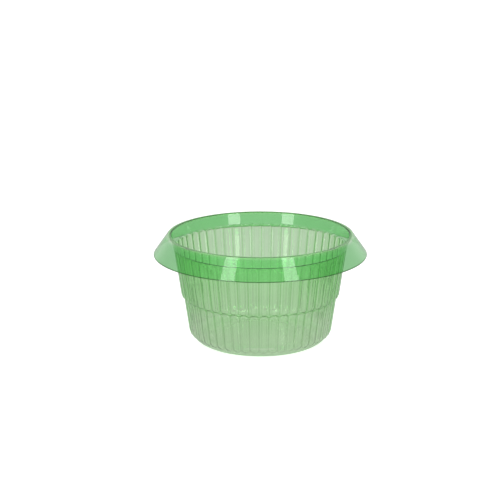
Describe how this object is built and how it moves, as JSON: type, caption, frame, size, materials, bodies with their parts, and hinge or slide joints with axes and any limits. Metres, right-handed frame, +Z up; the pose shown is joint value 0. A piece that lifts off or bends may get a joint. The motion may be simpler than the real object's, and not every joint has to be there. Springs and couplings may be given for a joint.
{
  "type": "florist bucket",
  "caption": "Low round see-through florist bucket with a fluted tapering wall, a waist step and a flared collar seated on its rim.",
  "frame": {"origin": "centre of the foot's plane, under the bucket", "axes": "+Z up the bucket's axis, with a groove of the flutes facing -Y and another facing +Y"},
  "size_m": [0.2212, 0.2212, 0.112],
  "materials": {
    "bowl_plastic": "clear green, glossy",
    "collar_plastic": "clear green, glossy"
  },
  "bodies": {
    "bowl": {"bowl": "bowl_plastic"},
    "collar": {"collar": "collar_plastic"}
  },
  "joints": [
    {"name": "collar_lift", "type": "slide", "parent": "bowl", "child": "collar", "axis": [0, 0, 1], "range_m": [0, 0.03]}
  ]
}
